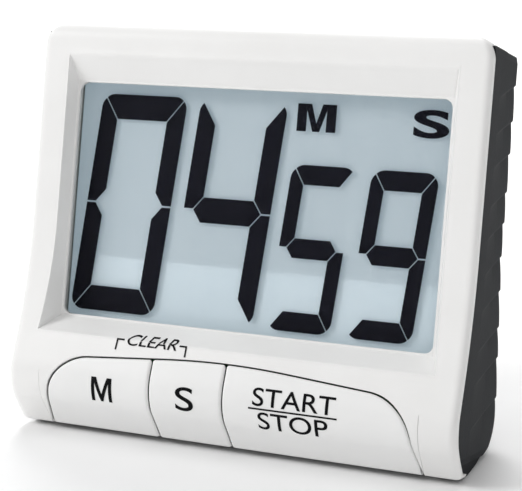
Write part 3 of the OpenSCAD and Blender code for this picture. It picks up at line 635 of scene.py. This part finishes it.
def makeSides():
    # Rows go up the side and columns from the white rim to the rear edge. Each scale is proud at its
    # lower edge and sinks with the square of the way up to the next crease, where it comes back sharply.
    z = np.linspace(back["foot"], back["top"], 560)[:, None]
    u = np.linspace(0, 1, 70)[None]
    begin, end = sideEdges(z)
    y = begin + (end - begin) * u
    notch = np.array(back["notches"][::-1])
    fall = 4.6 + 2.2 * np.clip((40 - z) / 40, 0, 1)
    level = z + fall * (1 - u)  # the creases run down towards the rear edge
    number = np.interp(level, notch, np.arange(len(notch)), left=-1, right=len(notch))
    phase = number - np.floor(number)
    sunk = np.clip(phase, 0, 1) ** 2.0 * np.clip((1 - phase) / 0.05, 0, 1) ** 0.5
    sunk = np.where((number < 0) | (number >= len(notch)), 0, sunk)
    fade = np.clip((u - 0.30) / 0.34, 0, 1) ** 1.1
    above, below = (back["top"] - z) / back["margin"], (z - back["foot"]) / back["margin"]
    border = np.clip(above, 0, 1) * np.clip(below, 0, 1)
    round_ = np.sqrt(np.clip(1 - np.clip(1 - (1 - u) / 0.05, 0, 1) ** 2, 0, 1))
    height = (back["proud"] - back["crease"] * sunk * fade) * (0.6 + 0.4 * round_) * (0.6 + 0.4 * border)
    for side, name in ((1, "ribbedSideRight"), (-1, "ribbedSideLeft")):
        x = side * (back["sideX"] + height)
        points = np.stack([x + 0 * y, y, z + 0 * y], -1)
        faces = gridFaces(*y.shape)
        meshPiece(name, points, faces if side > 0 else faces[:, ::-1], "blackShell",
                  "case", thick=0.5)


makeBack()
makeSides()
print("back made")


nodeFinish = {
    "window_lens": "windowSheet", "lcd_frame": "holderPlastic", "lcd_polariser": "filmSheet",
    "lcd_front_glass": "displayGlass", "lcd_rear_glass": "displayGlass", "lcd_reflector": "displayFilmAndPaintedGlow",
    "zebra_strip": "greyRubber", "circuit_board": "boardGreen", "chip_blob": "epoxy",
    "crystal": "brightMetal", "capacitors": "brownCeramic", "resistors": "paleCeramic",
    "contact_pads": "carbonPad", "dome_minutes": "greyRubber", "dome_seconds": "greyRubber",
    "dome_start_stop": "greyRubber", "buzzer_plate": "rolledBrass", "buzzer_ceramic": "paleCeramic",
    "buzzer_leads": "blackWire", "battery_cell": "cellWrap", "battery_spring": "brightMetal",
    "battery_plate": "brightMetal", "battery_leads": "redWire", "battery_door": "blackShell",
    "stand": "blackStand", "magnets": "brightMetal", "case_screws": "zincSteel",
    "board_screws": "zincSteel"}
for node, skin in nodeFinish.items():
    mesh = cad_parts[node].data
    mesh.materials.clear()
    mesh.materials.append(skins[skin])
print("CAD pieces finished:", len(nodeFinish))


def makeStage():
    # A pale sheet: flat under the timer, then a wide quarter turn up behind it.
    room = {"half": 2.2, "near": -1.6, "turn": 1.1, "radius": 0.7, "top": 2.4}
    v = np.linspace(0, 1, 60)
    flat = np.stack([np.linspace(room["near"], room["turn"], 20), 0 * np.linspace(0, 1, 20)], 1)
    a = v * math.pi / 2
    bend = np.stack([room["turn"] + room["radius"] * np.sin(a), room["radius"] * (1 - np.cos(a))], 1)
    rise = np.array([[room["turn"] + room["radius"], room["top"]]])
    line = np.concatenate([flat, bend[1:], rise])
    x = np.linspace(-room["half"], room["half"], 9)
    points = np.stack([np.repeat(x[None], len(line), 0), np.repeat(line[:, :1], 9, 1),
                       np.repeat(line[:, 1:], 9, 1)], -1)
    mesh = bpy.data.meshes.new("floorSheet")
    mesh.from_pydata(points.reshape(-1, 3).tolist(), [], gridFaces(len(line), 9).tolist())
    mesh.shade_smooth()
    mesh.materials.append(skins["paleFloor"])
    floor = bpy.data.objects.new("floorSheet", mesh)
    bpy.context.scene.collection.objects.link(floor)


def addLight(name, place, target, size, power):
    lamp = bpy.data.lights.new(name, "AREA")
    lamp.shape, lamp.size, lamp.energy = "DISK", size, power
    holder = bpy.data.objects.new(name, lamp)
    bpy.context.scene.collection.objects.link(holder)
    holder.location = place
    holder.rotation_euler = (Vector(target) - Vector(place)).to_track_quat("-Z", "Y").to_euler()


def addCamera():
    # The camera's place and axes are given beside the upright case and leaned with it.
    view = {"place": (103.8, -246.6, 42.6), "right": (0.9219, 0.3790, 0.0797),
            "up": (-0.0828, -0.0081, 0.9965), "lens": 104.4}
    eye = bpy.data.cameras.new("camera")
    eye.lens, eye.sensor_width, eye.clip_start = view["lens"], 36, 0.01
    holder = bpy.data.objects.new("camera", eye)
    bpy.context.scene.collection.objects.link(holder)
    right, up = turnRow(view["right"]), turnRow(view["up"])
    up = (up - right * up.dot(right)).normalized()
    axes = Matrix((right, up, right.cross(up))).transposed()
    holder.matrix_world = Matrix.Translation(Vector(toRow(view["place"]))) @ axes.to_4x4()
    bpy.context.scene.camera = holder


makeStage()
addLight("keySoftbox", (-0.85, -0.62, 0.72), (0, 0, 0.03), 0.5, 7.6)
addLight("fillSoftbox", (0.55, -0.95, 0.45), (0, 0, 0.04), 0.6, 1.2)
addLight("topSoftbox", (0.0, 0.05, 0.95), (0, 0, 0.03), 0.7, 1.9)
addLight("groundSoftbox", (-0.35, 1.0, 1.1), (0.0, 0.7, 0), 1.0, 15)
addCamera()
sky = bpy.data.worlds.new("studio")
bpy.context.scene.world = sky
sky.use_nodes = True
sky.node_tree.nodes["Background"].inputs["Color"].default_value = (1.0, 1.0, 1.0, 1)
sky.node_tree.nodes["Background"].inputs["Strength"].default_value = 0.35
bpy.context.scene.view_settings.view_transform = "Standard"
bpy.context.scene.cycles.transparent_max_bounces = 32  # the window and display are ten clear faces deep
print("stage, lights and camera made")
